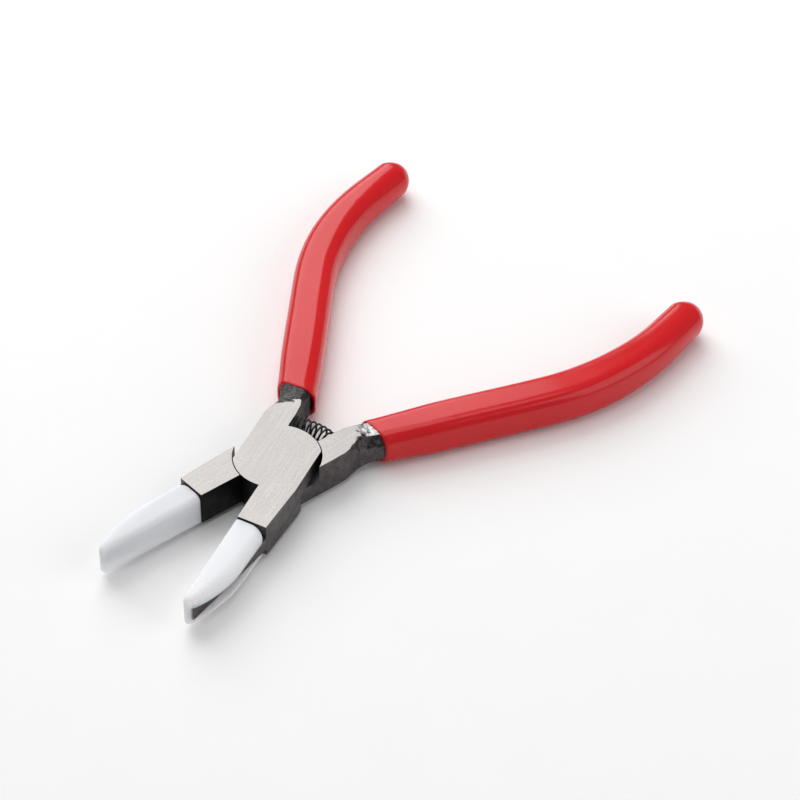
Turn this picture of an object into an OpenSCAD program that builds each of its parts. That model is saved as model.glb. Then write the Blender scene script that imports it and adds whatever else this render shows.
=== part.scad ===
// Nylon-jaw flat-nose pliers with a lap joint, a return spring and dipped grips.
// Millimetres. Origin: on the pivot axis, level with the underside of the joint.
// +X points to the jaw tips, +Z up; the jaws stand open as they lie at rest.
// The two halves share one outline: the lower half is the upper one turned over.

/* [Joint] */
// Thickness of the ground steel halves
joint_t = 8; // [7:0.1:9]
// Radius of the round cheek of each half
cheek_r = 9.2; // [8.8:0.1:9.5]
// Gap between a cheek and the round pocket it turns in
pocket_gap = 0.16; // [0.1:0.01:0.3]
// Gap between the two lapped cheeks
lap_gap = 0.06; // [0.02:0.01:0.1]
// Angle each half is turned open at rest, in degrees
half_open = 14; // [8:0.5:15]

/* [Rivet] */
// Radius of the rivet shank
rivet_r = 2.5; // [2:0.1:3]
// Running clearance of the rivet in the lower half
rivet_clear = 0.05; // [0.02:0.01:0.1]
// Radius of the flush countersunk head under the lower half
rivet_head_r = 4; // [3.5:0.1:5]
// Depth of the countersunk head
rivet_head_h = 1.5; // [1.2:0.1:2]

/* [Jaws] */
// Distance from the pivot to the steel shoulder of a jaw
shoulder_x = 19; // [17:0.1:20]
// Width of a jaw at its shoulder
shoulder_w = 6.6; // [6:0.1:7]
// Radius of the curve that leads the nylon cover to its tip
cover_nose_r = 25.5; // [25:0.1:26.5]
// Radius of the rounded tip of the nylon cover
cover_tip_r = 0.8; // [0.6:0.1:1]
// Distance from the pivot to the end of the steel tongue
tongue_tip_x = 42.3; // [40:0.1:42.3]
// Height of the tongue above the face that is lapped at the joint
tongue_z = 1.7; // [1.4:0.1:2]
// Thickness of the tongue
tongue_t = 3.1; // [2.6:0.1:3.6]

/* [Handles] */
// Outward slant of a handle's straight run with the jaws shut, in degrees
handle_slant = 19.1; // [18:0.1:20]
// Length of the straight run from the mouth of the grip
handle_run = 37.3; // [33:0.1:40]
// Radius of the bend that brings the handle back
handle_bend_r = 62; // [55:0.5:70]
// Angle of that bend, in degrees
handle_bend = 33.1; // [28:0.1:35]
// Length of the straight tail after the bend
handle_tail = 8.2; // [6:0.1:12]
// Width of a grip across the handle
grip_w = 9.4; // [9:0.1:10.2]
// Thickness of a grip from face to face
grip_t = 9.2; // [8.8:0.1:10]
// Corner radius of the grip section
grip_corner = 3; // [2.6:0.1:3.6]
// Both handles lie this far below the middle of the joint
handle_drop = 0.3; // [0:0.05:0.5]
// Distance from the pivot to the mouths of the grips with the jaws shut
mouth_x = 21; // [20.5:0.1:22]

/* [Spring] */
// Distance from the pivot to the spring axis
spring_at = 13.9; // [13.5:0.1:14.2]
// Outer diameter of the coil
spring_od = 3.8; // [3.2:0.1:4]
// Diameter of the spring wire
spring_wire = 0.45; // [0.35:0.05:0.45]
// Number of turns
spring_turns = 11; // [9:0.5:11]
// Depth of the blind holes that hold the spring ends
spring_seat = 1.25; // [1:0.05:1.5]

/* [Hidden] */

steel = "silver";
forged = "dimgray";
nylon = "white";
pvc = "crimson";

cheek_top_y = 7.75;               // outer flat of the cheek on the jaw side
cheek_flat_y = -8.05;             // outer flat of the cheek on the handle side
cheek_flat_x = 7.5;               // where the jaw side starts to taper
inner_back = 0.2;                 // steel stands this far back from the closing plane
cover_back = 0.05;                // nylon face, measured from the closing plane
pocket_r = cheek_r + pocket_gap;
half_z = joint_t / 2;

cover_gap = 0.2;                  // gap from the shoulder to the nylon
cover_skin = 0.15;                // nylon stands this far below the ground faces
cover_back_x = shoulder_x + cover_gap;
cover_back_y = 6.65;              // outer side of the cover at the shoulder
cover_fall = 0.04;                // the outer side closes in by this much per millimetre
nose_x = 28;                      // the nose curve is centred under this point
nose_y = cover_back_y - (nose_x - cover_back_x) * cover_fall - cover_nose_r;
tip_y = cover_back + cover_tip_r;  // centre of the rounded tip
tip_dir = asin((tip_y - nose_y) / (cover_nose_r - cover_tip_r));
tip_x = nose_x + (cover_nose_r - cover_tip_r) * cos(tip_dir);
far_x = 2 * tip_x;                // well past the tip
far_y = cover_back_y - (far_x - cover_back_x) * cover_fall;
tongue_root = 2.3;                // inner side of the tongue at the shoulder
tongue_nose = 0.95;               // inner side of the tongue at its end
tongue_nose_w = 1.1;              // width of the tongue at its end

neck_in_y = -1.7;                 // inner wall of the neck, where the spring sits
run_start = [-21.8, -5.8];        // start of a handle's straight run, jaws shut
waist = [-14.6, -4.75];           // centre of the waist, jaws shut
root_w = 7.6;                     // forged root at the mouth: width, height, chamfer
root_h = 7.5;
root_chamfer = 2.2;
waist_w = 5.2;                    // the same at the waist
waist_chamfer = 1;
mouth_lap = 3;                    // the sleeve is drawn this much longer, then cut at its mouth
tang_w = 6.2;                     // steel core inside the grip
tang_h = 5.8;
tang_corner = 2;
slim = 0.15;                      // a handle loses this much per stretch
root_in = 3;                      // the root runs this far into the grip
tang_tail = handle_tail - 2;      // the core stops short of the grip's end

seat_r = spring_od / 2 + 0.15;
seat_at = asin(-neck_in_y / spring_at);                    // where the spring meets the wall
seat_turn = spring_seat / spring_at * 180 / PI;
spring_play = 1.7;                // the coil stops short of the seat by this angle
spring_half = half_open + seat_at + seat_turn - spring_play;   // half the arc it fills
coil_r = (spring_od - spring_wire) / 2;
wire_sides = 8;
turn_steps = 18;

$fn = 96;

// Places its children as the upper or the lower half of the tool, at rest.
module as_upper() rotate([0, 0, half_open]) children();
module as_lower() translate([0, 0, joint_t]) mirror([0, 1, 0]) mirror([0, 0, 1])
    rotate([0, 0, half_open]) children();

// Rectangle with chamfered corners, centred.
module octagon(w, h, c) {
    polygon([[-w / 2 + c, -h / 2], [w / 2 - c, -h / 2], [w / 2, -h / 2 + c],
             [w / 2, h / 2 - c], [w / 2 - c, h / 2], [-w / 2 + c, h / 2],
             [-w / 2, h / 2 - c], [-w / 2, -h / 2 + c]]);
}

// Rectangle with round corners, centred.
module round_rect(w, h, r) {
    square([w - 2 * r, h], center = true);
    square([w, h - 2 * r], center = true);
    for (sx = [-1, 1], sy = [-1, 1])
        translate([sx * (w / 2 - r), sy * (h / 2 - r)]) circle(r, $fn = 32);
}

// Stands a section up so that it is swept along -X, its width across Y.
module along_x(len) rotate([90, 0, -90]) linear_extrude(len) children();

// Straight run, bend and tail of a handle, each a little slimmer than the one before.
module handle_sweep(w, h, r, tail, drop, lap) {
    translate([run_start[0], run_start[1], half_z - drop]) rotate([0, 0, handle_slant]) {
        translate([lap, 0, 0]) along_x(handle_run + lap) round_rect(w, h, r);
        translate([-handle_run, handle_bend_r, 0]) {
            rotate([0, 0, -90 - handle_bend]) rotate_extrude(angle = handle_bend)
                translate([handle_bend_r, 0]) round_rect(w - slim, h - slim, r);
            rotate([0, 0, -handle_bend]) translate([0, -handle_bend_r, 0])
                along_x(tail) round_rect(w - 2 * slim, h - 2 * slim, r);
        }
    }
}

// Moves its children to the end of a handle's tail, looking along -X.
module at_tail(drop) {
    translate([run_start[0], run_start[1], half_z - drop]) rotate([0, 0, handle_slant])
        translate([-handle_run, handle_bend_r, 0]) rotate([0, 0, -handle_bend])
            translate([-handle_tail, -handle_bend_r, 0]) children();
}

// Ground steel outline of one half: cheek, jaw up to the shoulder, and neck.
module half_outline() {
    intersection() {
        circle(cheek_r);
        translate([-cheek_r, cheek_flat_y]) square([2 * cheek_r, cheek_top_y - cheek_flat_y]);
    }
    polygon([[0, inner_back], [shoulder_x, inner_back],
             [shoulder_x + 0.5, inner_back + shoulder_w],
             [cheek_flat_x, cheek_top_y], [0, cheek_top_y]]);
    polygon([[0, cheek_flat_y], [0, neck_in_y], [-13.6, neck_in_y], [-16, neck_in_y - 0.3],
             [-18.2, neck_in_y - 1], [-16.6, -5.2], [-14.2, -7.3], [-11.6, cheek_flat_y]]);
}

// Outline of the tongue that carries the nylon cover.
module tongue_outline() {
    polygon([[shoulder_x - 1, tongue_root], [tongue_tip_x, tongue_nose],
             [tongue_tip_x, tongue_nose + tongue_nose_w],
             [shoulder_x + 0.5, inner_back + shoulder_w],
             [shoulder_x - 1, inner_back + shoulder_w]]);
}

// Forged root that widens from the waist to the mouth.
module root() {
    hull() {
        translate([waist[0], waist[1], half_z]) rotate([0, 0, handle_slant / 2])
            along_x(0.5) octagon(waist_w, root_h, waist_chamfer);
        translate([run_start[0], run_start[1], half_z]) rotate([0, 0, handle_slant])
            translate([0.5, 0, 0]) along_x(0.5) octagon(root_w, root_h, root_chamfer);
    }
}

// Steel inside the grip: the end of the root, then a slimmer core.
module core(drop) {
    translate([run_start[0], run_start[1], half_z]) rotate([0, 0, handle_slant])
        along_x(root_in) octagon(root_w - slim, root_h - slim, root_chamfer);
    handle_sweep(tang_w, tang_h, tang_corner, tang_tail, drop, 0);
}

// One steel half, jaws shut, its cheek on the upper side.
module steel_half(bore_r, sink, drop) {
    difference() {
        union() {
            linear_extrude(joint_t) half_outline();
            translate([0, 0, tongue_z]) linear_extrude(tongue_t) tongue_outline();
            root();
            core(drop);
        }
        translate([0, 0, -1]) cylinder(h = 1 + half_z + lap_gap / 2, r = pocket_r);
        translate([0, 0, -1]) cylinder(h = joint_t + 2, r = bore_r);
        if (sink)
            translate([0, 0, joint_t - rivet_head_h - rivet_clear])
                cylinder(h = rivet_head_h + rivet_clear, r1 = bore_r,
                         r2 = rivet_head_r + rivet_clear);
        rotate([0, 0, 180 + seat_at]) translate([spring_at, 0, half_z])
            rotate([-90, 0, 0]) translate([0, 0, -1.5]) cylinder(h = spring_seat + 1.5, r = seat_r);
    }
}

// Nylon cover of one jaw: a nose with a slot that is open on the outer side.
module jaw_cover() {
    difference() {
        translate([0, 0, cover_skin]) linear_extrude(joint_t - 2 * cover_skin) cover_outline();
        translate([0, 0, tongue_z]) linear_extrude(tongue_t)
            polygon([[shoulder_x - 1, tongue_root], [tongue_tip_x, tongue_nose],
                     [tongue_tip_x, 2 * shoulder_w], [shoulder_x - 1, 2 * shoulder_w]]);
    }
}

// Outline of a cover: a slanted side, cut back to the nose curve and a rounded tip.
module cover_outline() {
    difference() {
        polygon([[cover_back_x, cover_back], [cover_back_x + 0.5, cover_back_y],
                 [far_x, far_y], [far_x, cover_back]]);
        difference() {
            translate([nose_x, -1]) square(far_x);
            translate([nose_x, nose_y]) circle(cover_nose_r);
        }
        difference() {
            polygon([[tip_x, -1], [tip_x, tip_y],
                     [tip_x + 2 * cos(tip_dir), tip_y + 2 * sin(tip_dir)],
                     [far_x, tip_y], [far_x, -1]]);
            translate([tip_x, tip_y]) circle(cover_tip_r);
        }
    }
}

// Dipped plastic sleeve of one handle: its mouth is square to the length of the shut tool.
module grip(drop) {
    difference() {
        union() {
            handle_sweep(grip_w, grip_t, grip_corner, handle_tail, drop, mouth_lap);
            at_tail(drop) grip_end();
        }
        translate([-mouth_x, -2 * mouth_x, -joint_t]) cube([mouth_x, 2 * mouth_x, 3 * joint_t]);
        root();
        core(drop);
    }
}

// Round end of a grip: the section turned about its middle line.
module grip_end() {
    intersection() {
        rotate_extrude() intersection() {
            round_rect(grip_w - 3 * slim, grip_t - 3 * slim, grip_corner);
            translate([0, -grip_t / 2]) square([grip_w, grip_t]);
        }
        translate([-2 * grip_w, -grip_w, -grip_t]) cube([2 * grip_w, 2 * grip_w, 2 * grip_t]);
    }
}

// Point on the spring wire's surface: t runs 0 to 1 along the arc, b around the wire.
function coil_turn(t) = 360 * spring_turns * t;
function coil_share(t) = t < 1 / spring_turns ? t * 0.45
    : t > 1 - 1 / spring_turns ? 1 - (1 - t) * 0.45
    : 0.45 / spring_turns + (t - 1 / spring_turns)
      * (1 - 0.9 / spring_turns) / (1 - 2 / spring_turns);
function wire_point(t, b) =
    let (psi = coil_turn(t),
         phi = 180 + spring_half * (2 * coil_share(t) - 1),
         out = coil_r + spring_wire / 2 * cos(b),
         side = spring_wire / 2 * sin(b),
         r = spring_at + out * cos(psi))
    [r * cos(phi) - side * sin(phi), r * sin(phi) + side * cos(phi), half_z + out * sin(psi)];

module helix() {
    steps = ceil(spring_turns * turn_steps);
    points = [for (i = [0 : steps], j = [0 : wire_sides - 1])
        wire_point(i / steps, 360 * j / wire_sides)];
    sides = [for (i = [0 : steps - 1], j = [0 : wire_sides - 1])
        let (k = (j + 1) % wire_sides)
        [i * wire_sides + j, i * wire_sides + k,
         (i + 1) * wire_sides + k, (i + 1) * wire_sides + j]];
    start = [[for (j = [wire_sides - 1 : -1 : 0]) j]];
    finish = [[for (j = [0 : wire_sides - 1]) steps * wire_sides + j]];
    polyhedron(points, concat(sides, start, finish), convexity = 10);
}

module upper_half() color(steel) as_upper() steel_half(rivet_r, false, handle_drop);

module lower_half() color(steel) as_lower()
    steel_half(rivet_r + rivet_clear, true, -handle_drop);

module pivot_rivet() color(forged) {
    cylinder(h = rivet_head_h, r1 = rivet_head_r, r2 = rivet_r);
    cylinder(h = joint_t, r = rivet_r);
}

module return_spring() color(forged) helix();

module jaw_cover_upper() color(nylon) as_upper() jaw_cover();

module jaw_cover_lower() color(nylon) as_lower() jaw_cover();

module grip_upper() color(pvc) as_upper() grip(handle_drop);

module grip_lower() color(pvc) as_lower() grip(-handle_drop);

upper_half();
lower_half();
pivot_rivet();
return_spring();
jaw_cover_upper();
jaw_cover_lower();
grip_upper();
grip_lower();
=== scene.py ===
import math

import bmesh
import bpy
import numpy as np
from mathutils import Matrix, Vector, noise


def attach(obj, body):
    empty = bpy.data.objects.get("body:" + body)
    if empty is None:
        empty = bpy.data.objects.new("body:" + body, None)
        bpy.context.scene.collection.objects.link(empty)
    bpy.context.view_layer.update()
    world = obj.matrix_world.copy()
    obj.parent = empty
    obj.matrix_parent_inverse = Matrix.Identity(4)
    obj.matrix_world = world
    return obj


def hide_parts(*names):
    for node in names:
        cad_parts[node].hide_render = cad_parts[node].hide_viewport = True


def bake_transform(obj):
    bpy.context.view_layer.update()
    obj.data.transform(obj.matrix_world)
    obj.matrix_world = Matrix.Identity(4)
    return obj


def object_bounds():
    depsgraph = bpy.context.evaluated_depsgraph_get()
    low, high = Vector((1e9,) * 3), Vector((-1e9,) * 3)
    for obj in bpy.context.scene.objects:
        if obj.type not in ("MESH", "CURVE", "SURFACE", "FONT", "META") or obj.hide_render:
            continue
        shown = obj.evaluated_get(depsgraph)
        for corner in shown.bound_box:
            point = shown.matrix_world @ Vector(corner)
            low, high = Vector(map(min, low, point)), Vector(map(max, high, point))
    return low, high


# Lengths are millimetres in the frame of one half with the jaws shut: X runs to the jaw's tip, +Y to the
# jaw's outer side, and Z through the joint's thickness. The lower half is the same turned over about X.
# MM turns millimetres to metres. The materials and the stage are in metres.
MM = 0.001
JOINT_T = 8.0
HALF_Z = JOINT_T / 2
HALF_OPEN = math.radians(14)
SIDES = ("upper", "lower")

# Nylon covers
COVER_BACK_X, COVER_BACK_Y = 19.2, 6.65
COVER_FALL = 0.04               # how much the outer side falls for each millimetre forward
COVER_INNER_Y = 0.05
COVER_SKIN = 0.15               # gap between a cover and the ground faces' planes
NOSE_X, NOSE_R = 28.0, 25.5
NOSE_Y = COVER_BACK_Y - (NOSE_X - COVER_BACK_X) * COVER_FALL - NOSE_R
TIP_R = 0.8
COVER_ROUND = (2.2, 0.7, 1.3, 1.8)  # long edges: outer high, inner high, inner low, outer low
BACK_ROUND, HEEL_ROUND, TIP_ROUND = 0.5, 1.7, 1.4
TIP_SHARE = 0.9                 # share of the tip's rounding that is taken off its height
BACK_LEAN, BACK_LEAN_WIDTH = 0.5, 7.0
THINNEST, FULLEST = 0.12, 0.96  # least section, and largest corner as a share of half of it

# Slot for the steel tongue
TONGUE_Z, TONGUE_T = 1.7, 3.1
TONGUE_TIP_X = 42.3
TONGUE_ROOT_Y, TONGUE_NOSE_Y = 2.3, 0.95
SLOT_BACK, SLOT_OUT_Y = 1.2, 14.0

# Handles: a straight run, a bend and a short straight tail
RUN_START = Vector((-21.8, -5.8))
SLANT = math.radians(19.1)
RUN = 37.3
BEND_R, BEND = 62.0, math.radians(33.1)
TAIL = 8.2
HANDLE_LENGTH = RUN + BEND_R * BEND + TAIL
HANDLE_DROP = 0.3

# Dipped grips
GRIP_W, GRIP_T, GRIP_CORNER = 9.4, 9.2, 3.0
GRIP_WALL = 0.75
MOUTH_CORNER, END_CORNER = 3.1, 4.0
MOUTH_SLIM, MOUTH_SLIM_FROM, MOUTH_SLIM_OVER = 0.75, -2, 18
END_SLIM_W, END_SLIM_T, END_SLIM_FROM, END_SLIM_OVER = 0.45, 0.4, 45, 40
LIP_SHIFT = 0.8
MOUTH_LENGTH, MOUTH_EDGE = 12.0, 3.5
GRIP_WAVE = 0.05
# Rolled lip, from inside the mouth to the outer skin: distance along the handle, depth below the skin.
LIP = [(3.5, GRIP_WALL + 0.1), (1.2, GRIP_WALL), (0.35, GRIP_WALL), (0.1, GRIP_WALL - 0.1),
       (0.0, GRIP_WALL - 0.3), (0.02, 0.3), (0.12, 0.12), (0.35, 0.02), (0.7, -0.03), (1.3, -0.04),
       (2.2, -0.01)]

# Neck and forged root: (x, value) pairs, x falling from the joint to the grip's mouth
CUT_X, END_X = -9.5, -24.5
NECK_IN_Y = -1.7
NECK_OUT = [(-9.5, -8.05), (-11.6, -8.05), (-13, -7.8), (-14.2, -7.5), (-16.2, -7.4),
            (-18.2, -7.9), (-19.9, -8.7), (-21.6, -9.5), (-24.5, -10.5)]
NECK_IN = [(-9.5, NECK_IN_Y), (-13.6, NECK_IN_Y), (-16, -1.95), (-18.2, -2.25), (-20, -2.0),
           (-21.8, -1.95), (-24.5, -2.85)]
OUT_LOW_CHAMFER_Y = [(-9.5, 0.4), (-13.4, 0.4), (-14.8, 0.6), (-16.4, 1.3), (-21, 1.5), (-24.5, 1.6)]
OUT_LOW_CHAMFER_Z = [(-9.5, 0.4), (-13.4, 0.4), (-14.8, 1.5), (-16.0, 3.0), (-18, 2.8), (-24.5, 2.1)]
OUT_HIGH_CHAMFER = [(-9.5, 0.4), (-14.2, 0.4), (-18, 0.8), (-21, 1.3), (-24.5, 1.8)]
IN_CHAMFER = [(-9.5, 0.4), (-16, 0.4), (-18, 0.6), (-21, 1.5), (-24.5, 2.1)]
GROUND_END = {"upper": -16.2, "lower": -17.6}   # x where the forged skin dips below the ground face
SKIN_LOW, SKIN_HIGH = 7.62, 8.3                 # height range of the forged skin
SKIN_FALL_X, SKIN_FALL_Y, SKIN_MIDDLE_Y = 0.12, 0.1, -4.5
ROUGHNESS = ((0.11, 0.8), (0.07, 1.9), (0.05, 4.0))  # depth and rate of each size of lump
SMOOTH_TO_X, ROUGH_OVER = -12.5, 3.5

# Steel head and core, kept from CAD inside these boxes
HEAD_BOX = (CUT_X, -60, -5), (60, 60, 15)
CORE_BOX = (-200, -80, -5), (END_X + 1, 60, 15)
EDGE_ROUND = 0.11
RIVET_CLEAR = 4.7

# Return spring, a coil along an arc about the pivot, and the holes that hold its ends
SPRING_AT = 13.9
SPRING_OD, SPRING_WIRE, SPRING_TURNS = 3.8, 0.45, 11
SPRING_SEAT, SEAT_PLAY, SEAT_PROUD = 1.25, 0.15, 1.5
SPRING_PLAY = math.radians(1.7)
CLOSED_PITCH = 0.45             # pitch of the two end coils, as a share of even pitch
COIL_STEPS, WIRE_SIDES, SEAT_SIDES = 28, 12, 40

# Where the steel's paint changes along X and across Y of a half, from and to, in metres. Walls behind
# SHOULDER_X and between NECK_OUTER_Y and JAW_OUTER_Y get painted shade, near black, for the shade between the
# jaws and in the pockets.
SHOULDER_X, FORGING_X = (0.0192, 0.0195), (-0.0135, -0.0150)
JAW_OUTER_Y, NECK_OUTER_Y = (0.0052, 0.0062), (-0.0042, -0.0058)

# Centre of the stain, back from the tip's centre and across, and the noise seeds of grip and neck
STAIN_BACK, STAIN_Y = 1.0, 1.6
SEEDS = {"upper": (3.0, 5.0), "lower": (14.0, 12.0)}

# Colours, linear RGBA
GROUND_DULL, GROUND_LIGHT = (0.240, 0.229, 0.221, 1), (0.32, 0.308, 0.299, 1)
GROUND_STREAK, GROUND_CLOUD = (0.237, 0.226, 0.219, 1), (0.256, 0.246, 0.240, 1)
PIT = (0.09, 0.085, 0.085, 1)
WALL_DULL, WALL_LIGHT = (0.066, 0.058, 0.060, 1), (0.125, 0.112, 0.114, 1)
WALL_RUBBED = (0.20, 0.185, 0.18, 1)
# Painted shade: near-black colours for the inner walls, pockets and gaps between the jaws
PAINTED_SHADE_DULL, PAINTED_SHADE_LIGHT = (0.010, 0.009, 0.0095, 1), (0.022, 0.020, 0.021, 1)
SCALE_DULL, SCALE_LIGHT = (0.022, 0.020, 0.021, 1), (0.085, 0.08, 0.079, 1)
BARE_DULL, BARE_LIGHT = (0.16, 0.155, 0.15, 1), (0.72, 0.71, 0.70, 1)
NYLON_DULL, NYLON_LIGHT = (0.83, 0.832, 0.86, 1), (0.88, 0.882, 0.905, 1)
NYLON_STAIN = (0.55, 0.43, 0.35, 1)
NYLON_DEPTH = (1.0, 0.9, 0.8)
PVC_DULL, PVC_LIGHT, PVC_DUST = (0.60, 0.009, 0.012, 1), (0.68, 0.015, 0.020, 1), (0.86, 0.3, 0.26, 1)
WIRE_DULL, WIRE_LIGHT = (0.018, 0.017, 0.019, 1), (0.06, 0.058, 0.06, 1)
FLOOR_DULL, FLOOR_LIGHT = (0.93, 0.93, 0.93, 1), (0.95, 0.95, 0.95, 1)

# Stage, in metres and watts
FLOOR_HALF, FLOOR_GAP = 3.0, 0.0002
WORLD_STRENGTH = 0.22
LOOK_AT = (-0.03, 0.0, 0.0)
LIGHTS = [("key", (-0.40, -0.72, 0.72), 1.0, 9.0),
          ("top", (-0.05, -0.1, 1.0), 0.8, 3.7),
          ("fill", (-0.35, 0.85, 0.50), 0.8, 3.0)]
AZIMUTH, ELEVATION, ROLL = math.radians(126.06), math.radians(43.02), math.radians(1.55)
DISTANCE, TARGET = 0.488, Vector((-0.0361, 0.0047, 0.0))
LENS, SENSOR, CLIP_START = 100.9, 36, 0.01

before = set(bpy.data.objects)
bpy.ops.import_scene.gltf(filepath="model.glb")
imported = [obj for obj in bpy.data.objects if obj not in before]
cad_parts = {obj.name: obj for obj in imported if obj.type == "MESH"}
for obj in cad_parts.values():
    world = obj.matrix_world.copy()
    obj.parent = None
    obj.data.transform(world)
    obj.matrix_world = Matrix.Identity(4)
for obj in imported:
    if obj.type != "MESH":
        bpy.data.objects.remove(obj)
cad_low, cad_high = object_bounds()


# ---------------------------------------------------------------- placing

def to_half(points, side):
    """Turns points of a shut half (mm) to the open tool's frame (m)."""
    p = np.array(points, float)
    c, s = math.cos(HALF_OPEN), math.sin(HALF_OPEN)
    x = c * p[:, 0] - s * p[:, 1]
    y = s * p[:, 0] + c * p[:, 1]
    z = p[:, 2]
    if side == "lower":
        y = -y
        z = JOINT_T - z
    return np.stack([x, y, z], 1) * MM


def from_half(points, side):
    """Turns points of the open tool's frame (m) to a shut half's frame (mm)."""
    p = np.array(points, float) / MM
    if side == "lower":
        p[:, 1] = -p[:, 1]
        p[:, 2] = JOINT_T - p[:, 2]
    c, s = math.cos(HALF_OPEN), math.sin(HALF_OPEN)
    return np.stack([c * p[:, 0] + s * p[:, 1], -s * p[:, 0] + c * p[:, 1], p[:, 2]], 1)


def move_points(mesh, move, side):
    """Passes all points of a mesh through to_half or from_half."""
    co = np.empty(len(mesh.vertices) * 3)
    mesh.vertices.foreach_get("co", co)
    mesh.vertices.foreach_set("co", move(co.reshape(-1, 3), side).ravel())


# ---------------------------------------------------------------- objects

def add_object(name, data):
    """Object in the scene for a mesh, light or camera."""
    obj = bpy.data.objects.new(name, data)
    bpy.context.scene.collection.objects.link(obj)
    return obj


def smooth_object(name, points, faces, side=None):
    """Smooth mesh object from points in mm: of a shut half, or of the open tool without a side."""
    co = to_half(points, side) if side else np.array(points, float) * MM
    mesh = bpy.data.meshes.new(name)
    mesh.from_pydata([tuple(v) for v in co], [], faces)
    mesh.validate()
    mesh.update()
    mesh.shade_smooth()
    return add_object(name, mesh)


def blank(name, points, faces):
    """Flat-shaded working object that keeps its points in millimetres."""
    mesh = bpy.data.meshes.new(name)
    mesh.from_pydata([tuple(p) for p in points], [], faces)
    mesh.update()
    return add_object(name, mesh)


def box(low, high):
    """Working box between two corners."""
    pts = [(x, y, z) for z in (low[2], high[2])
           for x, y in ((low[0], low[1]), (high[0], low[1]), (high[0], high[1]), (low[0], high[1]))]
    return blank("box", pts, ring_faces(2, 4))


def ring_faces(count, sides, cap_start=True):
    """Quads between successive rings of the same number of points, closed by end caps."""
    faces = []
    for i in range(count - 1):
        for j in range(sides):
            k = (j + 1) % sides
            faces.append((i * sides + j, i * sides + k, (i + 1) * sides + k, (i + 1) * sides + j))
    if cap_start:
        faces.append(tuple(range(sides - 1, -1, -1)))
    faces.append(tuple((count - 1) * sides + j for j in range(sides)))
    return faces


def flipped(faces):
    """The same faces looking the other way."""
    return [f[::-1] for f in faces]


def joined(rings):
    """All points of all rings in one list."""
    return [p for ring in rings for p in ring]


def rounded_rect(w, h, radii, arc=8, flat=3):
    """Outline of a rectangle about (0, 0); radii go +x+y, -x+y, -x-y, +x-y."""
    corners = [(1, 1, 0), (-1, 1, 90), (-1, -1, 180), (1, -1, 270)]
    arcs = []
    for (sx, sy, start), r in zip(corners, radii):
        cx, cy = sx * (w / 2 - r), sy * (h / 2 - r)
        for i in range(arc + 1):
            a = math.radians(start + 90 * i / arc)
            arcs.append((cx + r * math.cos(a), cy + r * math.sin(a)))
    out = []
    per = arc + 1
    for c in range(4):
        out += arcs[c * per:(c + 1) * per]
        a, b = arcs[(c + 1) * per - 1], arcs[((c + 1) * per) % len(arcs)]
        for i in range(1, flat + 1):
            t = i / (flat + 1)
            out.append((a[0] + (b[0] - a[0]) * t, a[1] + (b[1] - a[1]) * t))
    return out


def modifier(obj, kind, **values):
    """Adds a modifier with its settings."""
    m = obj.modifiers.new(kind.title(), kind)
    for key, value in values.items():
        setattr(m, key, value)
    return m


def combine(obj, other, operation):
    """Boolean of two objects, made final; the second is used up."""
    m = modifier(obj, "BOOLEAN", operation=operation, solver="EXACT", object=other)
    graph = bpy.context.evaluated_depsgraph_get()
    mesh = bpy.data.meshes.new_from_object(obj.evaluated_get(graph))
    obj.modifiers.remove(m)
    old = obj.data
    obj.data = mesh
    bpy.data.meshes.remove(old)
    bpy.data.objects.remove(other)


def finish(obj, mat, sharp_angle):
    """Gives an object its name throughout, its material, and edges sharper than an angle."""
    obj.data.name = obj.name
    obj.data.materials.clear()
    obj.data.materials.append(mat)
    obj.data.shade_smooth()
    obj.data.set_sharp_from_angle(angle=math.radians(sharp_angle))


def smoothstep(t):
    """Eases 0 to 1, held at both ends."""
    t = min(max(t, 0.0), 1.0)
    return t * t * (3 - 2 * t)


def round_over(radius, past):
    """How far a rounded edge has fallen back, a distance past the start of its rounding."""
    return radius - math.sqrt(max(radius ** 2 - max(past, 0) ** 2, 0))


# ---------------------------------------------------------------- materials

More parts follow.
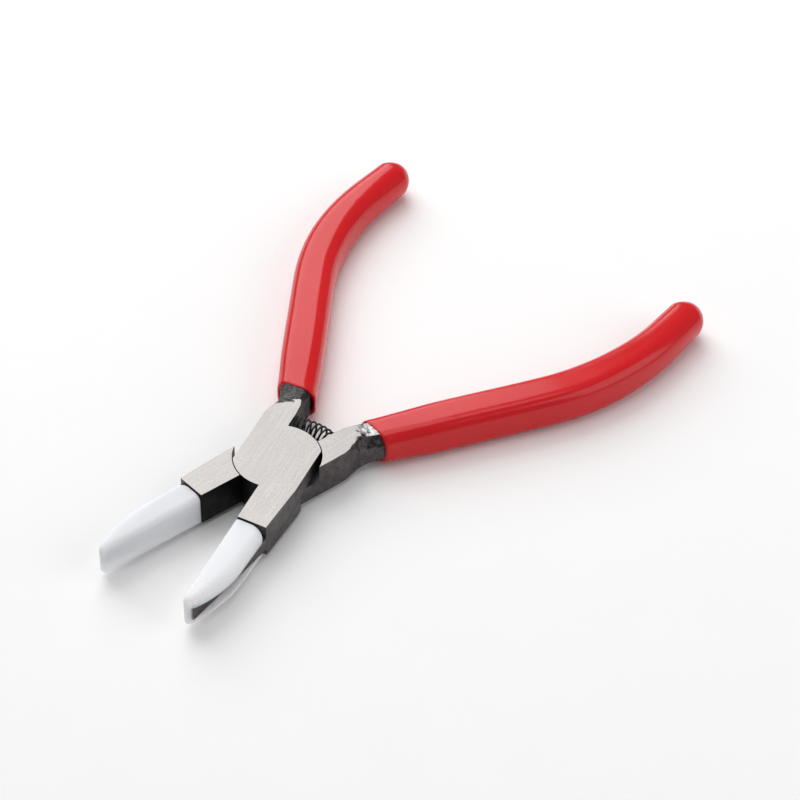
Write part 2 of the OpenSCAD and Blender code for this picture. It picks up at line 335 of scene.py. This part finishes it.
class Nodes:
    """Short way to write a node material."""

    def __init__(self, name):
        self.mat = bpy.data.materials.new(name)
        self.mat.use_nodes = True
        self.tree = self.mat.node_tree
        self.tree.nodes.clear()
        self.bsdf = self.add("ShaderNodeBsdfPrincipled")
        out = self.add("ShaderNodeOutputMaterial")
        self.link(self.bsdf.outputs[0], out.inputs["Surface"])

    def add(self, kind, **values):
        n = self.tree.nodes.new(kind)
        for key, value in values.items():
            setattr(n, key, value)
        return n

    def link(self, a, b):
        self.tree.links.new(a, b)

    def put(self, socket, value):
        """Links an output, or sets a constant."""
        if isinstance(value, bpy.types.NodeSocket):
            self.link(value, socket)
        else:
            socket.default_value = value

    def where(self, output="Object"):
        """Object coordinates in metres, or the surface normal."""
        return self.add("ShaderNodeTexCoord").outputs[output]

    def place(self, turn=0.0, per_metre=1):
        """Object coordinates turned about Z, then scaled by one number or three."""
        scaled = self.add("ShaderNodeMapping")
        turned = self.add("ShaderNodeMapping")
        turned.inputs["Rotation"].default_value = (0, 0, turn)
        scaled.inputs["Scale"].default_value = per_metre if isinstance(per_metre, tuple) else (per_metre,) * 3
        self.link(self.where(), turned.inputs["Vector"])
        self.link(turned.outputs[0], scaled.inputs["Vector"])
        return scaled.outputs[0]

    def axis(self, which, vector):
        """One component of a vector."""
        s = self.add("ShaderNodeSeparateXYZ")
        self.link(vector, s.inputs[0])
        return s.outputs[which]

    def noise(self, per_metre, detail, rough, turn=0.0):
        """Noise with so many cells a metre, as one number or one for each turned axis."""
        n = self.add("ShaderNodeTexNoise")
        self.link(self.place(turn, per_metre), n.inputs["Vector"])
        n.inputs["Scale"].default_value = 1.0
        n.inputs["Detail"].default_value = detail
        n.inputs["Roughness"].default_value = rough
        return n.outputs["Fac"]

    def spots(self, per_metre, core, edge, turn=0.0):
        """1 in round spots, falling to 0 from their core to their edge."""
        n = self.add("ShaderNodeTexVoronoi", feature="F1")
        self.link(self.place(turn, per_metre), n.inputs["Vector"])
        n.inputs["Scale"].default_value = 1.0
        return self.ramp(n.outputs["Distance"], core, edge, 1.0, 0.0)

    def ramp(self, fac, low, high, a=0.0, b=1.0):
        """Maps low..high to a..b, held at both ends."""
        n = self.add("ShaderNodeMapRange", clamp=True, interpolation_type="SMOOTHSTEP")
        self.put(n.inputs["Value"], fac)
        for name, v in (("From Min", low), ("From Max", high), ("To Min", a), ("To Max", b)):
            n.inputs[name].default_value = v
        return n.outputs[0]

    def math(self, op, a, b=0.0):
        n = self.add("ShaderNodeMath", operation=op)
        self.put(n.inputs[0], a)
        self.put(n.inputs[1], b)
        return n.outputs[0]

    def times(self, a, b):
        return self.math("MULTIPLY", a, b)

    def mix(self, fac, a, b):
        """Mixes two colours."""
        n = self.add("ShaderNodeMix", data_type="RGBA")
        self.put(n.inputs["Factor"], fac)
        self.put(n.inputs[6], a)
        self.put(n.inputs[7], b)
        return n.outputs[2]

    def mix_vector(self, fac, a, b):
        n = self.add("ShaderNodeMix", data_type="VECTOR")
        self.put(n.inputs["Factor"], fac)
        self.put(n.inputs[4], a)
        self.put(n.inputs[5], b)
        return n.outputs[1]

    def bump(self, height, distance, strength, normal=None):
        n = self.add("ShaderNodeBump")
        n.inputs["Strength"].default_value = strength
        n.inputs["Distance"].default_value = distance
        self.put(n.inputs["Height"], height)
        if normal is not None:
            self.link(normal, n.inputs["Normal"])
        return n.outputs[0]

    def surface(self, **values):
        """Sets sockets of the surface shader; an underscore stands for a space."""
        for key, value in values.items():
            self.put(self.bsdf.inputs[key.replace("_", " ")], value)


def ground_paint(n, turn):
    """Colour and grain height of the ground faces, brushed along the half."""
    grain = n.noise((160, 3200, 160), 3.0, 0.65, turn)
    streak = n.noise((25, 700, 25), 3.0, 0.6, turn)
    fine = n.noise((1500, 3600, 1500), 2.0, 0.5, turn)
    cloud = n.noise((130, 260, 260), 4.0, 0.6, turn)
    texture = n.math("ADD", n.times(grain, 0.5), n.times(fine, 0.5))
    colour = n.mix(n.ramp(texture, 0.34, 0.66), GROUND_DULL, GROUND_LIGHT)
    colour = n.mix(n.ramp(streak, 0.4, 0.7, 0.0, 0.3), colour, GROUND_STREAK)
    colour = n.mix(n.ramp(cloud, 0.4, 0.75, 0.0, 0.35), colour, GROUND_CLOUD)
    pit = n.times(n.spots((330, 480, 330), 0.05, 0.13, turn), n.ramp(cloud, 0.57, 0.64))
    colour = n.mix(n.times(pit, 0.6), colour, PIT)
    height = n.math("ADD", n.times(grain, 0.6), n.times(fine, 0.4))
    return colour, texture, height


def wall_paint(n, along, across, up, bare):
    """Colour and height of the rest: dark sides, inner sides and pockets near black as painted shade, scaly
    forging rubbed bare on top.
    """
    blotch = n.noise(520, 5.0, 0.65)
    skin = n.noise(1600, 4.0, 0.65)
    tone = n.ramp(blotch, 0.3, 0.7)
    outer = n.math("MAXIMUM", n.ramp(across, *JAW_OUTER_Y), n.ramp(across, *NECK_OUTER_Y))
    outer = n.math("MAXIMUM", outer, n.ramp(along, *SHOULDER_X))
    colour = n.mix(tone, WALL_DULL, WALL_LIGHT)
    colour = n.mix(n.ramp(skin, 0.55, 0.75, 0.0, 0.5), colour, WALL_RUBBED)
    # Painted shade: walls away from the outer sides are painted near black for the shade between the jaws and
    # in the pockets.
    colour = n.mix(outer, n.mix(tone, PAINTED_SHADE_DULL, PAINTED_SHADE_LIGHT), colour)

    forging = n.ramp(along, *FORGING_X)
    scale = n.mix(n.ramp(skin, 0.35, 0.7), SCALE_DULL, SCALE_LIGHT)
    colour = n.mix(n.times(forging, n.ramp(up, 0.25, 0.5)), colour, scale)
    start = 0.66 - 0.28 * bare
    rubbed = n.ramp(n.noise(480, 5.0, 0.65), start, start + 0.10)
    rubbed = n.times(n.times(n.ramp(up, 0.78, 0.95), forging), rubbed)
    colour = n.mix(rubbed, colour, n.mix(skin, BARE_DULL, BARE_LIGHT))
    return colour, n.math("ADD", blotch, skin)


def half_steel(side, bare):
    """Ground faces bright and grained along the half, walls dark; more bare forging as bare nears 1."""
    n = Nodes("ground_steel_" + side)
    turn, mirror = (-HALF_OPEN, 1.0) if side == "upper" else (HALF_OPEN, -1.0)
    straight = n.place(turn)
    along = n.axis(0, straight)
    across = n.times(n.axis(1, straight), mirror)
    up = n.math("ABSOLUTE", n.axis(2, n.where("Normal")))
    off_middle = n.math("ABSOLUTE", n.math("SUBTRACT", n.axis(2, n.where()), HALF_Z * MM))
    on_face = n.ramp(off_middle, (HALF_Z - 0.035) * MM, (HALF_Z - 0.012) * MM)
    ground = n.times(n.ramp(up, 0.35, 0.8), on_face)

    bright, texture, grain_height = ground_paint(n, turn)
    dark, wall_height = wall_paint(n, along, across, up, bare)
    n.surface(Base_Color=n.mix(ground, dark, bright), Specular_IOR_Level=0.3,
              Normal=n.mix_vector(ground, n.bump(wall_height, 0.00005, 0.6),
                                  n.bump(grain_height, 0.00002, 0.35)),
              Metallic=n.ramp(ground, 0.0, 1.0, 0.8, 1.0),
              Roughness=n.math("ADD", n.times(texture, 0.2), n.ramp(ground, 0.0, 1.0, 0.30, 0.26)))
    return n.mat


def nylon(name, stain_at=None):
    """Milky satin nylon, a little translucent, with faint stains about one point."""
    n = Nodes(name)
    fine = n.noise(900, 4.0, 0.6)
    base = n.mix(n.noise(90, 4.0, 0.5), NYLON_DULL, NYLON_LIGHT)
    if stain_at is not None:
        far = n.add("ShaderNodeVectorMath", operation="DISTANCE")
        n.link(n.where(), far.inputs[0])
        far.inputs[1].default_value = stain_at
        near = n.ramp(far.outputs["Value"], 0.001, 0.0085, 1.0, 0.0)
        patch = n.ramp(n.noise(1700, 5.0, 0.75), 0.46, 0.66)
        base = n.mix(n.times(n.times(near, patch), 0.22), base, NYLON_STAIN)
    n.surface(Base_Color=base, Roughness=n.ramp(fine, 0.3, 0.7, 0.48, 0.60),
              Subsurface_Weight=1.0, Subsurface_Scale=0.0045, Subsurface_Radius=NYLON_DEPTH,
              Specular_IOR_Level=0.25, Normal=n.bump(fine, 0.00003, 0.35))
    return n.mat


def red_pvc(name):
    """Glossy dipped plastic with faint ripples and a few specks of dust."""
    n = Nodes(name)
    fine = n.noise(1100, 3.0, 0.6)
    base = n.mix(n.noise(45, 5.0, 0.6), PVC_DULL, PVC_LIGHT)
    speck = n.times(n.spots(260, 0.03, 0.075), n.ramp(n.noise(130, 2.0, 0.5), 0.62, 0.68))
    base = n.mix(n.times(speck, 0.5), base, PVC_DUST)
    ripple = n.bump(n.noise(45, 1.0, 0.3), 0.0002, 0.22)
    n.surface(Base_Color=base, Roughness=n.ramp(fine, 0.3, 0.75, 0.13, 0.22),
              Specular_IOR_Level=0.33, Subsurface_Weight=0.08, Subsurface_Scale=0.001,
              Normal=n.bump(fine, 0.000006, 0.15, ripple))
    return n.mat


def black_wire(name):
    """Oiled black spring wire."""
    n = Nodes(name)
    fine = n.noise(2500, 3.0, 0.6)
    n.surface(Base_Color=n.mix(n.ramp(fine, 0.4, 0.75), WIRE_DULL, WIRE_LIGHT), Metallic=0.7,
              Roughness=n.ramp(fine, 0.3, 0.7, 0.28, 0.45), Normal=n.bump(fine, 0.00001, 0.3))
    return n.mat


def floor_paint(name):
    """Plain pale matt paint."""
    n = Nodes(name)
    n.surface(Base_Color=n.mix(n.noise(60, 3.0, 0.5), FLOOR_DULL, FLOOR_LIGHT), Roughness=0.9)
    return n.mat


# ---------------------------------------------------------------- nylon covers

def cover_side_y(x):
    """Outer side of a cover at x: a slanted line, then the nose curve."""
    line = COVER_BACK_Y - (x - COVER_BACK_X) * COVER_FALL
    curve = NOSE_Y + math.sqrt(max(NOSE_R ** 2 - (x - NOSE_X) ** 2, 0.0))
    return min(line, curve) if x > NOSE_X else line


def cover_tip():
    """Centre of the rounded tip in plan."""
    y = COVER_INNER_Y + TIP_R
    return NOSE_X + math.sqrt((NOSE_R - TIP_R) ** 2 - (y - NOSE_Y) ** 2), y


def cover_stations(length):
    """Distances from the back at which a cover's sections stand, close together at both ends."""
    back = [BACK_ROUND * (1 - math.cos(math.radians(15 * i))) for i in range(7)]
    middle = list(np.linspace(BACK_ROUND + 0.4, length - TIP_ROUND, 40))
    front = [length - TIP_ROUND * (1 - math.sin(math.radians(7.5 * i))) for i in range(1, 12)]
    return back + middle + front


def cover_section(u, length):
    """Outline of a cover at u from its back."""
    tip_x, tip_y = cover_tip()
    x = COVER_BACK_X + u
    # Past the tip's centre, the tip's own arc bounds the section on both sides.
    high, low = cover_side_y(min(x, tip_x + TIP_R * 0.7)), COVER_INNER_Y
    if x > tip_x:
        reach = math.sqrt(max(TIP_R ** 2 - (x - tip_x) ** 2, 0.0))
        high, low = min(high, tip_y + reach), tip_y - reach
    inset = round_over(BACK_ROUND, BACK_ROUND - u)
    dip = round_over(TIP_ROUND, u - (length - TIP_ROUND)) * TIP_SHARE
    y0, y1 = low + inset, high - max(inset, round_over(HEEL_ROUND, HEEL_ROUND - u))
    z0, z1 = COVER_SKIN + inset + dip, JOINT_T - COVER_SKIN - inset - dip
    w, h = max(y1 - y0, THINNEST), max(z1 - z0, THINNEST)
    most = min(w, h) / 2 * FULLEST
    lean = BACK_LEAN * (1 - u / length)
    return [(x + lean * ((a + w / 2) / BACK_LEAN_WIDTH), (y0 + y1) / 2 + a, (z0 + z1) / 2 + b)
            for a, b in rounded_rect(w, h, [min(r, most) for r in COVER_ROUND])]


def slot_block(side):
    """Block that cuts the tongue's slot through the outer side of a cover."""
    x0, x1 = COVER_BACK_X - SLOT_BACK, TONGUE_TIP_X
    base = [(x0, TONGUE_ROOT_Y), (x1, TONGUE_NOSE_Y), (x1, SLOT_OUT_Y), (x0, SLOT_OUT_Y)]
    pts = [(x, y, z) for z in (TONGUE_Z, TONGUE_Z + TONGUE_T) for x, y in base]
    return smooth_object("slot", pts, ring_faces(2, 4), side)


def build_cover(side, mat):
    """Nylon cover with its slot and slightly broken slot edges."""
    length = cover_tip()[0] + TIP_R - COVER_BACK_X
    rings = [cover_section(u, length) for u in cover_stations(length)]
    obj = smooth_object("nylon_cover_" + side, joined(rings),
                        flipped(ring_faces(len(rings), len(rings[0]))), side)
    combine(obj, slot_block(side), "DIFFERENCE")
    modifier(obj, "BEVEL", width=0.12 * MM, segments=2, limit_method="ANGLE",
             angle_limit=math.radians(50))
    finish(obj, mat, 40)
    return obj


# ---------------------------------------------------------------- grips

def heading_vectors(h):
    """Unit vectors along a handle and across it, for a heading."""
    return Vector((-math.cos(h), -math.sin(h))), Vector((-math.sin(h), math.cos(h)))


def path_at(s):
    """Point and heading of a handle's centre line, s mm from the start of its run."""
    ahead, across = heading_vectors(SLANT)
    if s <= RUN:
        return RUN_START + ahead * s, SLANT
    centre = RUN_START + ahead * RUN + across * BEND_R
    h = SLANT - min((s - RUN) / BEND_R, BEND)
    ahead, across = heading_vectors(h)
    at = centre - across * BEND_R
    tail = s - RUN - BEND_R * BEND
    return (at + ahead * tail if tail > 0 else at), h


def grip_size(s):
    """Width and thickness of a grip: it thins towards the end and into its mouth."""
    end = smoothstep((s - END_SLIM_FROM) / END_SLIM_OVER)
    mouth = 1 - smoothstep((s - MOUTH_SLIM_FROM) / MOUTH_SLIM_OVER)
    return GRIP_W - END_SLIM_W * end - MOUTH_SLIM * mouth, GRIP_T - END_SLIM_T * end - MOUTH_SLIM * mouth


def grip_section(side, seed, s, corner, depth_w=0.0, depth_t=0.0, lean=0.0):
    """Section of a grip, some depth below its skin; lean 1 sets it square to the half's X axis."""
    at, h = path_at(s)
    ahead, across = heading_vectors(h)
    w, t = grip_size(s)
    w, t = w - 2 * depth_w, t - 2 * depth_t
    r = min(max(GRIP_CORNER - 0.3 * depth_w, corner), w / 2 * 0.98, t / 2 * 0.98)
    middle_z = HALF_Z - (HANDLE_DROP if side == "upper" else -HANDLE_DROP)
    out = []
    for v, z in rounded_rect(w, t, (r, r, r, r), 7, 4):
        p = at + ahead * (lean * (-LIP_SHIFT - v * math.sin(SLANT)) / math.cos(SLANT)) + across * v
        wave = GRIP_WAVE * noise.noise(Vector((p.x * 0.11, v * 0.2 + seed, z * 0.2)))
        p = p + across * (v / (w / 2)) * wave
        out.append((p.x, p.y, middle_z + z * (1 + wave / (t / 2))))
    return out


def build_grip(side, mat, seed):
    """Dipped grip from its rolled lip to its domed end."""
    rings = [grip_section(side, seed, s, MOUTH_CORNER, depth, depth, 1.0) for s, depth in LIP]
    for s in np.linspace(MOUTH_EDGE, MOUTH_LENGTH, 8):
        eased = smoothstep((s - MOUTH_EDGE) / (MOUTH_LENGTH - MOUTH_EDGE))
        corner = MOUTH_CORNER - (MOUTH_CORNER - GRIP_CORNER) * eased
        rings.append(grip_section(side, seed, s, corner, lean=1.0 - eased))
    for s in np.linspace(MOUTH_LENGTH + 1.2, HANDLE_LENGTH, 60):
        corner = GRIP_CORNER + (END_CORNER - GRIP_CORNER) * smoothstep((s - HANDLE_LENGTH + 30) / 30)
        rings.append(grip_section(side, seed, s, corner))
    w_end, t_end = grip_size(HANDLE_LENGTH)
    for i in range(1, 16):
        a = math.radians(90 * i / 16)
        rings.append(grip_section(side, seed, HANDLE_LENGTH + w_end / 2 * math.sin(a), END_CORNER,
                                  w_end / 2 * (1 - math.cos(a)), t_end / 2 * (1 - math.cos(a) ** 0.9)))
    obj = smooth_object("dipped_grip_" + side, joined(rings),
                        ring_faces(len(rings), len(rings[0]), cap_start=False), side)
    modifier(obj, "SUBSURF", levels=1, render_levels=1)
    obj.data.materials.append(mat)
    return obj


# ---------------------------------------------------------------- steel halves

def along_neck(x, table):
    """Value at x from pairs (x, value), x falling."""
    xs, values = zip(*reversed(table))
    return float(np.interp(x, xs, values))


def neck_corners(x, ground_end):
    """Eight corners (y, z) of the neck's section at x; its skin lies as far below the middle as above."""
    y_in, y_out = along_neck(x, NECK_IN), along_neck(x, NECK_OUT)
    c_in, c_high = along_neck(x, IN_CHAMFER), along_neck(x, OUT_HIGH_CHAMFER)
    c_low_y, c_low_z = along_neck(x, OUT_LOW_CHAMFER_Y), along_neck(x, OUT_LOW_CHAMFER_Z)

    def high(y, chamfer=0.0):
        skin = JOINT_T + SKIN_FALL_X * (x - ground_end) + SKIN_FALL_Y * (y - SKIN_MIDDLE_Y)
        return min(max(skin, SKIN_LOW), SKIN_HIGH) - chamfer

    def low(y, chamfer=0.0):
        return JOINT_T - high(y) + chamfer

    y_top, y_bottom = y_out + c_high, y_out + c_low_y
    return [(y_in, low(y_in, c_in)), (y_in, high(y_in, c_in)),
            (y_in - c_in, high(y_in - c_in)), (y_top, high(y_top)),
            (y_out, high(y_out, c_high)), (y_out, low(y_out, c_low_z)),
            (y_bottom, low(y_bottom)), (y_in - c_in, low(y_in - c_in))]


def neck_ring(x, ground_end, seed):
    """Closed section of the neck and root at x, lumpy, and cut off flat by the ground faces."""
    corners = neck_corners(x, ground_end)
    rough = smoothstep((SMOOTH_TO_X - x) / ROUGH_OVER)
    ring = []
    for i, (a, count) in enumerate(zip(corners, (26, 8, 20, 8) * 2)):
        b = corners[(i + 1) % len(corners)]
        dy, dz = b[0] - a[0], b[1] - a[1]
        length = math.hypot(dy, dz)
        for j in range(count):
            y, z = a[0] + dy * j / count, a[1] + dz * j / count
            at = Vector((x + seed, y, z))
            lump = rough * sum(depth * noise.noise(at * rate) for depth, rate in ROUGHNESS)
            ring.append((x, y + dz / length * lump, min(max(z - dy / length * lump, 0.0), JOINT_T)))
    return ring


def build_neck(ground_end, seed):
    """Neck and forged root from the head to inside the grip's mouth."""
    stations = list(np.linspace(CUT_X, -12, 12)) + list(np.linspace(-12.15, END_X, 80))
    rings = [neck_ring(x, ground_end, seed) for x in stations]
    return blank("neck", joined(rings), flipped(ring_faces(len(rings), len(rings[0]))))


def cad_part(side, name, low, high):
    """The part of a CAD half that lies in a box, as a new mesh in millimetres with the jaws shut."""
    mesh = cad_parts[side + "_half"].data.copy()
    mesh.name = name
    move_points(mesh, from_half, side)
    obj = add_object(name, mesh)
    bm = bmesh.new()
    bm.from_mesh(mesh)
    bmesh.ops.remove_doubles(bm, verts=bm.verts, dist=1e-4)
    bmesh.ops.dissolve_limit(bm, angle_limit=math.radians(0.6), verts=bm.verts, edges=bm.edges)
    bm.to_mesh(mesh)
    bm.free()
    combine(obj, box(low, high), "INTERSECT")
    return obj


def soften_edges(obj):
    """Rounds the outer edges of the head, except around the rivet and where the neck joins."""
    bm = bmesh.new()
    bm.from_mesh(obj.data)
    edges = []
    for e in bm.edges:
        if len(e.link_faces) != 2 or e.calc_face_angle(0) < math.radians(35):
            continue
        at_rivet = max(math.hypot(v.co.x, v.co.y) for v in e.verts) < RIVET_CLEAR
        if not at_rivet and max(v.co.x for v in e.verts) > CUT_X + 0.01:
            edges.append(e)
    bmesh.ops.bevel(bm, geom=edges, offset=EDGE_ROUND, segments=2, profile=0.5, affect="EDGES",
                    clamp_overlap=True)
    bm.to_mesh(obj.data)
    bm.free()


def seat_angle():
    """Angle about the pivot from a half's middle line to its neck's inner wall, at the spring."""
    return math.asin(-NECK_IN_Y / SPRING_AT)


def seat_cutter():
    """Short cylinder that cuts the hole for one end of the spring."""
    turn = math.pi + seat_angle()
    outward = Vector((math.cos(turn), math.sin(turn), 0))
    inward = Vector((-math.sin(turn), math.cos(turn), 0))
    centre = outward * SPRING_AT + Vector((0, 0, HALF_Z))
    radius = SPRING_OD / 2 + SEAT_PLAY
    pts = []
    for reach in (-SEAT_PROUD, SPRING_SEAT):
        for i in range(SEAT_SIDES):
            a = 2 * math.pi * i / SEAT_SIDES
            pts.append(centre + inward * reach + outward * (radius * math.cos(a))
                       + Vector((0, 0, radius * math.sin(a))))
    return blank("seat", pts, ring_faces(2, SEAT_SIDES))


def build_half(side, mat, seed):
    """Head and core of one half as in CAD, with its neck and forged root drawn anew."""
    body = cad_part(side, "steel_half_" + side, *HEAD_BOX)
    soften_edges(body)
    core = cad_part(side, "core", *CORE_BOX)
    neck = build_neck(GROUND_END[side], seed)
    combine(neck, core, "UNION")
    combine(body, neck, "UNION")
    combine(body, seat_cutter(), "DIFFERENCE")
    move_points(body.data, to_half, side)
    finish(body, mat, 30)
    modifier(body, "WEIGHTED_NORMAL", weight=50, keep_sharp=True)
    return body


# ---------------------------------------------------------------- spring

def spring_half_angle():
    """Half of the arc that the spring fills at rest."""
    return HALF_OPEN + seat_angle() + SPRING_SEAT / SPRING_AT - SPRING_PLAY


def arc_share(t):
    """Share of the arc reached at t of the wire's turns; the first and last coils lie close."""
    closed = 1 / SPRING_TURNS
    if t < closed:
        return t * CLOSED_PITCH
    if t > 1 - closed:
        return 1 - (1 - t) * CLOSED_PITCH
    return CLOSED_PITCH * closed + (t - closed) * (1 - 2 * CLOSED_PITCH * closed) / (1 - 2 * closed)


def build_spring(mat):
    """Coil spring along an arc about the pivot."""
    steps = SPRING_TURNS * COIL_STEPS
    coil_r = (SPRING_OD - SPRING_WIRE) / 2
    pts = []
    for i in range(steps + 1):
        phi = math.pi + spring_half_angle() * (2 * arc_share(i / steps) - 1)
        psi = 2 * math.pi * SPRING_TURNS * i / steps
        for j in range(WIRE_SIDES):
            b = 2 * math.pi * j / WIRE_SIDES
            out = coil_r + SPRING_WIRE / 2 * math.cos(b)
            across = SPRING_WIRE / 2 * math.sin(b)
            r = SPRING_AT + out * math.cos(psi)
            pts.append((r * math.cos(phi) - across * math.sin(phi),
                        r * math.sin(phi) + across * math.cos(phi), HALF_Z + out * math.sin(psi)))
    obj = smooth_object("coil_spring", pts, ring_faces(steps + 1, WIRE_SIDES))
    obj.data.materials.append(mat)
    return obj


# ---------------------------------------------------------------- the tool

steel = {"upper": half_steel("upper", bare=0.15), "lower": half_steel("lower", bare=0.9)}
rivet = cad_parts["pivot_rivet"].data
rivet.materials.clear()
rivet.materials.append(steel["upper"])

stain_at = to_half([(cover_tip()[0] - STAIN_BACK, STAIN_Y, JOINT_T)], "upper")[0]
covers = {"upper": nylon("nylon_upper", tuple(stain_at)), "lower": nylon("nylon_lower")}
pvc = red_pvc("red_dipped_pvc")
for side in SIDES:
    grip_seed, neck_seed = SEEDS[side]
    cover = build_cover(side, covers[side])
    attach(cover, side)
    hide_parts("jaw_cover_" + side)
    grip = build_grip(side, pvc, grip_seed)
    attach(grip, side)
    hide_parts("grip_" + side)
    half = build_half(side, steel[side], neck_seed)
    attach(half, side)
    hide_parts(side + "_half")

# The spring blends between the two inner walls of the necks.
spring = build_spring(black_wire("black_spring_wire"))
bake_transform(spring)
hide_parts("return_spring")


# ---------------------------------------------------------------- stage, light and camera

def build_floor():
    """Large flat floor just under the tool."""
    mesh = bpy.data.meshes.new("floor")
    z = cad_low.z - FLOOR_GAP
    corners = [(-1, -1), (1, -1), (1, 1), (-1, 1)]
    mesh.from_pydata([(x * FLOOR_HALF, y * FLOOR_HALF, z) for x, y in corners], [], [(0, 1, 2, 3)])
    mesh.materials.append(floor_paint("floor_paint"))
    return add_object("floor", mesh)


def softbox(name, at, size, power):
    """Square area light aimed at the tool."""
    data = bpy.data.lights.new(name, "AREA")
    data.shape = "RECTANGLE"
    data.size, data.size_y, data.energy = size, size, power
    obj = add_object(name, data)
    obj.location = at
    obj.rotation_euler = (Vector(LOOK_AT) - Vector(at)).to_track_quat("-Z", "Y").to_euler()


def build_camera():
    """Camera on a circle about the target: azimuth from -Y towards +X, elevation, and roll."""
    back = Vector((math.sin(AZIMUTH) * math.cos(ELEVATION),
                   -math.cos(AZIMUTH) * math.cos(ELEVATION), math.sin(ELEVATION)))
    right = Vector((math.cos(AZIMUTH), math.sin(AZIMUTH), 0))
    upward = back.cross(right)
    right, upward = (right * math.cos(ROLL) + upward * math.sin(ROLL),
                     upward * math.cos(ROLL) - right * math.sin(ROLL))
    at = TARGET + back * DISTANCE
    camera = add_object("camera", bpy.data.cameras.new("camera"))
    camera.data.lens, camera.data.sensor_width, camera.data.clip_start = LENS, SENSOR, CLIP_START
    camera.matrix_world = Matrix(((right.x, upward.x, back.x, at.x), (right.y, upward.y, back.y, at.y),
                                  (right.z, upward.z, back.z, at.z), (0, 0, 0, 1)))
    return camera


build_floor()
world = bpy.data.worlds.new("studio")
bpy.context.scene.world = world
world.use_nodes = True
world.node_tree.nodes["Background"].inputs["Color"].default_value = (1, 1, 1, 1)
world.node_tree.nodes["Background"].inputs["Strength"].default_value = WORLD_STRENGTH
for light in LIGHTS:
    softbox(*light)
bpy.context.scene.camera = build_camera()
bpy.context.scene.view_settings.view_transform = "Standard"
